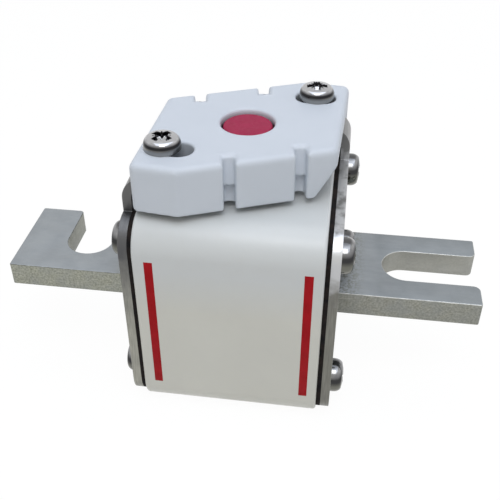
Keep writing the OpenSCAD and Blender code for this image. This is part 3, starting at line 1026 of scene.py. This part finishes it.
@dataclass
class PanScrew:
    """A pan head screw with a cross recess, drawn upright and then laid along its axis."""

    head_r: float = 4.0 * MM
    head_h: float = 3.1 * MM
    rim_h: float = 0.8 * MM
    foot: float = 0.15 * MM
    crown_r: float = 2.8 * MM
    crown_drop: float = 0.4 * MM
    recess: float = 1.5 * MM
    arm_l: float = 2.3 * MM
    arm_w: float = 0.75 * MM
    arm_wall: float = 0.22 * MM
    arm_share: float = 0.62
    cone_r: float = 1.25 * MM
    cone_wall: float = 0.5 * MM
    cone_share: float = 0.85
    nick_l: float = 1.9 * MM
    nick_w: float = 0.14 * MM
    nick_wall: float = 0.1 * MM
    nick_share: float = 0.35
    pitch: float = 0.7 * MM
    thread: float = 0.2 * MM
    thread_steps: int = 6
    bare: float = 0.1 * MM
    tip_h: float = 0.3 * MM
    tip_in: float = 0.4 * MM
    turns: int = 144
    crown_steps: int = 40
    rim_steps: int = 12

    def head_profile(self) -> np.ndarray:
        """Draw the head from the middle of the crown out, down the rim and in under the head.

        Returns:
            Radius and height of each step.
        """
        r = np.linspace(0, self.crown_r, self.crown_steps)
        crown = np.stack([r, self.head_h - self.crown_drop * (r / self.crown_r) ** 2], 1)
        t = np.linspace(0, np.pi / 2, self.rim_steps)[1:]
        wide, tall = self.head_r - self.crown_r, self.head_h - self.crown_drop - self.rim_h
        side = np.stack([self.crown_r + wide * np.sin(t), self.rim_h + tall * np.cos(t)], 1)
        foot = np.array([[self.head_r, self.foot], [self.head_r - self.foot, 0.0]])
        return np.concatenate([crown, side, foot])

    def shank_profile(self, length: float, radius: float) -> np.ndarray:
        """Draw the shank from under the head down to the tip.

        Args:
            length: Length under the head.
            radius: Outer radius of the thread.

        Returns:
            Radius and height of each step, the last one at the pole of the tip.
        """
        count = int(round(length / self.pitch * self.thread_steps))
        z = np.linspace(-self.bare / 2, -length + self.tip_h, count)
        shank = np.stack([np.full(count, radius), z], 1)
        tip = np.array([[radius - self.tip_in, -length], [0.0, -length]])
        return np.concatenate([shank, tip])

    def recess_depth(self, x: np.ndarray, y: np.ndarray) -> np.ndarray:
        """Depth of the cross recess.

        The distance into the nearer arm is the least of its two half sizes less |x| and |y|; the floor is
        reached a short way inside the arm's edge, and a cone deepens the middle. Four short nicks lie
        between the arms.

        Args:
            x: Places across the head.
            y: Places across the head.

        Returns:
            The depth at each place.
        """
        u, v, r = np.abs(x + y) / math.sqrt(2), np.abs(x - y) / math.sqrt(2), np.hypot(x, y)
        first = np.minimum(self.arm_l - u, self.arm_w - v)
        second = np.minimum(self.arm_l - v, self.arm_w - u)
        arms = np.clip(np.maximum(first, second) / self.arm_wall, 0, 1)
        cone = np.clip((self.cone_r - r) / self.cone_wall, 0, 1)
        nick = np.minimum(self.nick_w - np.minimum(np.abs(x), np.abs(y)), self.nick_l - r)
        nicks = np.clip(nick / self.nick_wall, 0, 1) * self.nick_share
        cross = arms * (self.arm_share + (1 - self.arm_share) * cone)
        return self.recess * np.maximum(np.maximum(cross, cone * self.cone_share), nicks)

    def mesh(self, name: str, place: Matrix, length: float, radius: float) -> Mesh:
        """Work the screw out on a grid and put it in place.

        The point at angle a and profile step k is (r cos a, r sin a, z), where the thread's zigzag wave draws
        r in along the shank and the recess lowers z on the crown.

        Args:
            name: Name of the mesh.
            place: Where the underside of the head goes, with the head along local Z.
            length: Length under the head.
            radius: Radius of the shank.

        Returns:
            The closed mesh.
        """
        profile = np.concatenate([self.head_profile(), self.shank_profile(length, radius)])
        a = np.linspace(0, 2 * np.pi, self.turns, endpoint=False)[:, None]
        r, z = np.broadcast_arrays(profile[None, :, 0], profile[None, :, 1] + 0 * a)
        wave = np.abs(((z / self.pitch + a / (2 * np.pi)) % 1.0) * 2 - 1)
        r = r - np.where((z < -self.bare) & (z > -length + self.bare), self.thread * wave, 0.0)
        x, y = r * np.cos(a), r * np.sin(a)
        top = z > self.head_h - self.crown_drop - self.bare
        z = z - np.where(top, self.recess_depth(x, y), 0.0)
        made = grid_mesh(name, np.stack([x, y, z], -1), True, False)
        made.transform(place)
        return made


@dataclass
class Fasteners:
    """All screws of the fuse."""

    screw: PanScrew
    pitch: float = 36 * MM
    shank_r: float = 2 * MM
    plug_r: float = 2.2 * MM
    end_twist: tuple[float, ...] = (0.3, 1.1, 0.75, 0.1)
    front_twist: float = 0.2
    back_twist: float = 0.9
    sharp: float = 40.0

    def end_screws(self, side: Side) -> None:
        """Make the four screws of one end plate as one piece.

        Args:
            side: The end.
        """
        node = "side_screws_" + side.word
        low, high = corners(node)
        tip, head = sorted(np.abs([low[0], high[0]]))
        seat, middle = head - self.screw.head_h, (low[2] + high[2]) / 2
        places = [(sy, sz) for sy in (-1, 1) for sz in (-1, 1)]
        screws = []
        for (sy, sz), turn in zip(places, self.end_twist):
            shift = Matrix.Translation((seat, sy * self.pitch / 2, middle + sz * self.pitch / 2))
            place = (Matrix.Rotation(side.value, 4, "Z") @ shift @ Matrix.Rotation(math.pi / 2, 4, "Y")
                     @ Matrix.Rotation(turn, 4, "Z"))
            screws.append(self.screw.mesh("end_screw", place, seat - tip, self.shank_r))
        self.finish(joined("end_screws_" + side.word, screws), node, Finishes.END_SCREW)

    def single(self, node: str, axis: int, turn: float, radius: float, finish: Finishes) -> None:
        """Make one screw where its CAD node lies.

        Args:
            node: The CAD node.
            axis: The axis its head looks along, 0 for X or 2 for Z.
            turn: How far it is turned about that axis.
            radius: Radius of its shank.
            finish: Its finish.
        """
        low, high = corners(node)
        seat = (low + high) / 2
        seat[axis] = high[axis] - self.screw.head_h
        laid = Matrix.Rotation(0.0 if axis == 2 else math.pi / 2, 4, "Y")
        place = Matrix.Translation(seat.tolist()) @ laid @ Matrix.Rotation(turn, 4, "Z")
        self.finish(self.screw.mesh(node + "_bright", place, seat[axis] - low[axis], radius), node, finish)

    def finish(self, mesh: Mesh, node: str, finish: Finishes) -> None:
        """Add a screw mesh as the piece for a node.

        Args:
            mesh: The mesh.
            node: The CAD node it stands for.
            finish: Its finish.
        """
        piece = add_piece(mesh, finish, sharp=self.sharp)
        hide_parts(node)

    def build(self) -> None:
        """Make every screw."""
        for side in Side:
            self.end_screws(side)
        self.single("cover_screw_front", 2, self.front_twist, self.shank_r, Finishes.COVER_SCREW)
        self.single("cover_screw_back", 2, self.back_twist, self.shank_r, Finishes.COVER_SCREW)
        self.single("fill_plug", 0, 0.0, self.plug_r, Finishes.END_SCREW)


@dataclass
class IndicatorCover:
    """The white moulding on top, with the indicator in its window."""

    voxel: float = 0.32 * MM
    passes: int = 6
    last_passes: int = 2
    # The button's section.
    button_round: float = 0.5 * MM
    button_roof: float = 1.8 * MM
    button_turns: int = 96
    flange_lap: float = 1.2 * MM
    flange_t: float = 1.0 * MM
    spring_bore: float = 4.05 * MM
    stem_r: float = 1.0 * MM
    stem_up: float = 1.5 * MM
    # Where the long face starts and how it lies, and where its grooves are along it.
    shift: float = 0.9 * MM
    nose: tuple[float, float] = (11.5 * MM, 22.9 * MM)
    face_angle: float = math.atan2(12.9, 31.7)
    groove_at: tuple[float, float] = (11.1 * MM, 26.4 * MM)
    groove_w: float = 2.4 * MM
    groove_depth: float = 3.3 * MM
    groove_lean: float = math.radians(12)
    groove_lower: float = 3.8 * MM
    groove_step: float = 4.5 * MM
    groove_edge: float = 1.2 * MM
    far_edge: float = 1.1 * MM
    far_lap: float = 0.3 * MM
    # How the grooves' back walls lean: out at the foot, in at the top, on the front and on the back face.
    draft: float = 0.9 * MM
    undercut: float = 0.35 * MM
    deeper: tuple[float, float] = (0.3 * MM, 0.9 * MM)
    wall_lap: tuple[float, float] = (0.35 * MM, 0.4 * MM)
    wall_fade: float = 1.2 * MM
    nudge: float = 0.02 * MM

    def button(self) -> None:
        """Build the red button, turned from the profile of its face, flange, spring bore and stem."""
        low, high = corners("indicator_button")
        centre = np.array([(low[0] + high[0]) / 2, (low[1] + high[1]) / 2, 0.0])
        flange = (high[0] - low[0]) / 2
        face, bore, stem, r = flange - self.flange_lap, self.spring_bore, self.stem_r, self.button_round
        top, bottom = high[2], low[2]
        lip, ceiling, foot = bottom + self.flange_t, top - self.button_roof, bottom + self.stem_up
        rim = arc(face - r, top - r, r, 90, 0, steps=6)
        profile = np.concatenate([
            [[0, top], [face / 2, top]], rim, [[face, lip], [flange, lip], [flange, bottom], [bore, bottom]],
            [[bore, ceiling], [stem, ceiling], [stem, foot], [0, foot]]])
        mesh = revolve("indicator_face", profile, centre, self.button_turns)
        piece = add_piece(mesh, Finishes.BUTTON, "indicator")
        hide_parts("indicator_button")

    def groove_frames(self, places: np.ndarray) -> Iterator[tuple[np.ndarray, ...]]:
        """Give points in the frame of each groove, on one long face and then on the other, turned half round.

        Args:
            places: Points, of which X and Y count.

        Yields:
            u across the groove, v along its depth, the depth under the long face, and their directions.
        """
        across = np.array([math.cos(self.face_angle), math.sin(self.face_angle)])
        inward = np.array([-across[1], across[0]])
        c, s = math.cos(self.groove_lean), math.sin(self.groove_lean)
        axes = np.array([across * c - inward * s, across * s + inward * c, inward])
        for turn in (1.0, -1.0):
            flat = turn * (places[:, :2] - [self.shift, 0.0]) + self.nose
            for at in self.groove_at:
                along, deep = flat @ across - at, flat @ inward
                yield along * c - deep * s, along * s + deep * c, deep, turn * axes

    def from_grooves(self, places: np.ndarray) -> np.ndarray:
        """Find how far points lie from the nearest groove at the cover's top.

        A groove is a box: the distance is the length of (|u| - half width, v - depth), each at least 0.

        Args:
            places: Points, of which X and Y count.

        Returns:
            The distances in metres.
        """
        found = np.full(len(places), np.inf)
        for number, (u, v, _, _) in enumerate(self.groove_frames(places)):
            depth = self.groove_depth + self.deeper[number // 2]
            out = np.stack([np.abs(u) - self.groove_w / 2, v - depth])
            found = np.minimum(found, np.hypot(*np.maximum(out, 0)))
        return found

    @staticmethod
    def drawn_in(first: np.ndarray, second: np.ndarray, r: float) -> tuple[np.ndarray, np.ndarray]:
        """Round an edge between two faces.

        A point whose vector (r - first, r - second) is longer than r is drawn in until it has that length.

        Args:
            first: Depths under the first face.
            second: Depths under the second face.
            r: Radius of the edge.

        Returns:
            How far each point moves into the first and into the second face.
        """
        a, b = r - first, r - second
        length = np.hypot(a, b)
        share = np.where((a > 0) & (b > 0) & (length > r), 1 - r / np.maximum(length, TINY), 0.0)
        return a * share, b * share

    def lean_walls(self, points: np.ndarray, low: float, top: float) -> None:
        """Lean each groove's back wall out towards its foot.

        Above the step it goes from a little deeper at the top to the draft at its foot, and under the step
        from the undercut to the draft.

        Args:
            points: The cover's points, which are moved.
            low: Height of the skirt's lower edge.
            top: Height of the cover's top.
        """
        step = low + self.groove_step
        above = points[:, 2] > step
        foot = np.where(above, (top - points[:, 2]) / (top - step), (step - points[:, 2]) / self.groove_step)
        depth = np.where(above, self.groove_depth, self.groove_lower)
        side_lap, back_lap = self.wall_lap
        for number, (u, v, _, (_, back, _)) in enumerate(self.groove_frames(points)):
            more = np.where(above, self.deeper[number // 2], self.undercut)
            out = (self.draft + more * above) * foot - more
            inside = (np.abs(u) < self.groove_w / 2 + side_lap) & (v < depth + back_lap)
            weight = np.where(inside, np.clip((v - depth) / self.wall_fade + 1, 0, 1), 0.0)
            points[:, :2] -= (weight * out)[:, None] * back

    def round_far_edges(self, points: np.ndarray) -> None:
        """Round each groove's far upright edge by drawn_in.

        Args:
            points: The cover's points, which are moved.
        """
        for u, v, deep, (side, _, face) in self.groove_frames(points):
            into, down = self.drawn_in(u - self.groove_w / 2, deep, self.far_edge)
            here = (u > self.groove_w / 2 - self.far_lap) & (v < self.groove_depth)
            points[:, :2] += (into * here)[:, None] * side + (down * here)[:, None] * face

    def round_top_edges(self, points: np.ndarray, top: float) -> None:
        """Round the grooves' top edges by drawn_in, along the slope of the distance from the grooves.

        Args:
            points: The cover's points, which are moved.
            top: Height of the cover's top.
        """
        r = self.groove_edge
        near = np.flatnonzero((top - points[:, 2] < r) & (self.from_grooves(points) < r))
        here = points[near]
        slope = np.stack([self.from_grooves(here + step) - self.from_grooves(here - step)
                          for step in self.nudge * np.eye(3)[:2]], 1)
        slope /= np.maximum(np.linalg.norm(slope, axis=1, keepdims=True), TINY)
        into, down = self.drawn_in(self.from_grooves(here), np.maximum(top - here[:, 2], 0), r)
        here[:, :2] += slope * into[:, None]
        here[:, 2] -= down
        points[near] = here

    def shape_grooves(self, mesh: Mesh, low: float, top: float) -> None:
        """Give the grooves their draft, a round far edge and a round top edge.

        Args:
            mesh: The cover's mesh, which is changed.
            low: Height of the skirt's lower edge.
            top: Height of the cover's top.
        """
        points = np.empty(len(mesh.vertices) * 3, np.float32)
        mesh.vertices.foreach_get("co", points)
        points = points.reshape(-1, 3).astype(float)
        self.lean_walls(points, low, top)
        self.round_far_edges(points)
        self.round_top_edges(points, top)
        mesh.vertices.foreach_set("co", points.reshape(-1).astype(np.float32))
        mesh.update()

    def build(self) -> None:
        """Build the cover and what it holds."""
        cover = moulded_copy("indicator_cover", Finishes.COVER, self.voxel, self.passes)
        low, high = corners("indicator_cover")
        self.shape_grooves(cover.data, float(low[2]), float(high[2]))
        relax(cover, self.last_passes)
        self.button()
        PAINTS.dress_solid("indicator_cup", Finishes.CUP)
        PAINTS.dress_solid("indicator_spring", Finishes.SPRING)


@dataclass
class Chamber:
    """What lies inside the body: the CAD solids with their finishes."""

    elements: int = 4

    def build(self) -> None:
        """Dress the inner solids."""
        for side in Side:
            PAINTS.dress_solid("contact_disc_" + side.word, Finishes.COPPER)
        for number in range(1, self.elements + 1):
            PAINTS.dress_solid(f"fuse_element_{number}", Finishes.SILVER)
        PAINTS.dress_solid("quartz_sand", Finishes.SAND)
        PAINTS.dress_solid("release_wire", Finishes.WIRE)


# Studio


@dataclass
class Camera:
    """The photograph's camera, as solved from the object's edges."""

    place: Point = (21.56 * MM, -149.39 * MM, 142.44 * MM)
    azimuth: float = 9.24
    elevation: float = 36.98
    roll: float = -0.85
    focal: float = 762.97
    centre: tuple[float, float] = (233.34, 253.86)
    frame_px: float = 500.0
    sensor: float = 36.0
    clip: Span = (0.01, 10.0)

    def build(self) -> None:
        """Put the camera in the scene.

        Its back axis is (sin a cos e, -cos a cos e, sin e), its right axis lies level and is then rolled.
        """
        a, e, r = (math.radians(v) for v in (self.azimuth, self.elevation, self.roll))
        back = np.array([math.sin(a) * math.cos(e), -math.cos(a) * math.cos(e), math.sin(e)])
        right = np.cross(-back, [0, 0, 1])
        right /= np.linalg.norm(right)
        up = np.cross(right, -back)
        right, up = right * math.cos(r) + up * math.sin(r), up * math.cos(r) - right * math.sin(r)
        data = bpy.data.cameras.new("camera")
        data.sensor_width = self.sensor
        data.lens = self.focal / self.frame_px * self.sensor
        data.shift_x = (self.frame_px / 2 - self.centre[0]) / self.frame_px
        data.shift_y = (self.centre[1] - self.frame_px / 2) / self.frame_px
        data.clip_start, data.clip_end = self.clip
        camera = placed("camera", data)
        camera.matrix_world = aimed(right, up, back, self.place)
        bpy.context.scene.camera = camera


@dataclass(frozen=True)
class Lamp:
    """One soft area lamp that looks at the middle of the fuse."""

    name: str
    place: Point
    power: float
    size: float
    tone: Colour = (1.0, 1.0, 1.0)
    target: Point = (0.0, 0.0, 0.03)
    overhead: float = 0.99

    def build(self) -> None:
        """Put the lamp in the scene."""
        data = bpy.data.lights.new(self.name, "AREA")
        data.energy = self.power
        data.size = self.size
        data.color = self.tone
        back = np.array(self.place) - self.target
        back /= np.linalg.norm(back)
        across = np.array([1.0, 0.0, 0.0]) if abs(back[2]) > self.overhead else np.cross([0, 0, 1], back)
        across /= np.linalg.norm(across)
        placed(self.name, data).matrix_world = aimed(across, np.cross(back, across), back, self.place)


@dataclass
class Studio:
    """Pale floor, white background and soft lamps."""

    ambient: float = 0.33
    floor_side: float = 6.0
    floor_tone: Colour = (0.82, 0.81, 0.78)
    floor_other: Colour = (0.8, 0.8, 0.8)
    floor_cloud: float = 0.2
    floor_rough: float = 0.9
    floor_glow: float = 1.03
    floor_fade: float = 0.93
    lamps: tuple[Lamp, ...] = (
        Lamp("sky_panel", (0.05, -0.04, 0.75), 2.75, 0.8, (0.88, 0.97, 1.13)),
        Lamp("front_panel", (-0.25, -0.8, 0.35), 0.2, 0.7, (1.0, 0.9, 0.5)),
        Lamp("key_panel", (0.052, -0.295, 0.55), 0.78, 0.28),
    )

    def world(self) -> None:
        """Light the scene evenly and show white behind it."""
        world = bpy.data.worlds.new("studio")
        world.use_nodes = True
        bpy.context.scene.world = world
        made = Nodes(world.node_tree)
        strength = made.ramp(made.backdrop_seen(), 0.0, 1.0, self.ambient, 1.0)
        made.fill(made.tree.nodes["Background"], Color=(1, 1, 1, 1), Strength=strength)

    def floor(self) -> None:
        """Lay a pale floor that keeps the object's shadow and fades to white."""
        half = self.floor_side / 2
        corner = np.array([[[-half, -half, 0], [-half, half, 0]], [[half, -half, 0], [half, half, 0]]])
        floor = placed("floor", grid_mesh("floor", corner, False, False))
        made = Shader("floor_paint")
        clouds = made.ramp(made.noise(self.floor_cloud), *WIDE_SPAN)
        tone = made.mix(clouds, self.floor_tone, self.floor_other)
        made.fix(Base_Color=tone, Roughness=self.floor_rough, Specular_IOR_Level=0.0)
        blend = made.add("MixShader", Fac=made.combine(made.backdrop_seen(), self.floor_fade, "MULTIPLY"))
        made.feed(blend.inputs[1], made.surface.outputs["BSDF"])
        made.feed(blend.inputs[2], made.add("Emission", Strength=self.floor_glow).outputs["Emission"])
        made.fill(made.tree.nodes["Material Output"], Surface=blend.outputs["Shader"])
        floor.data.materials.append(made.material)

    def build(self) -> None:
        """Set up the whole studio."""
        self.world()
        self.floor()
        for lamp in self.lamps:
            lamp.build()
        bpy.context.scene.view_settings.view_transform = "Standard"


def main() -> None:
    """Build the fuse and its studio."""
    logging.basicConfig(level=logging.INFO, format="%(name)s: %(message)s")
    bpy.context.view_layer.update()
    Camera().build()
    CeramicBody().build()
    EndPlate(Side.LEFT, Finishes.PLATE_LEFT).build()
    EndPlate(Side.RIGHT, Finishes.PLATE_RIGHT).build()
    Blade(Side.LEFT, Finishes.BLADE_LEFT).build()
    Blade(Side.RIGHT, Finishes.BLADE_RIGHT).build()
    Fasteners(PanScrew()).build()
    IndicatorCover().build()
    Chamber().build()
    Studio().build()
    LOG.info("size written")


if __name__ == "__main__":
    main()
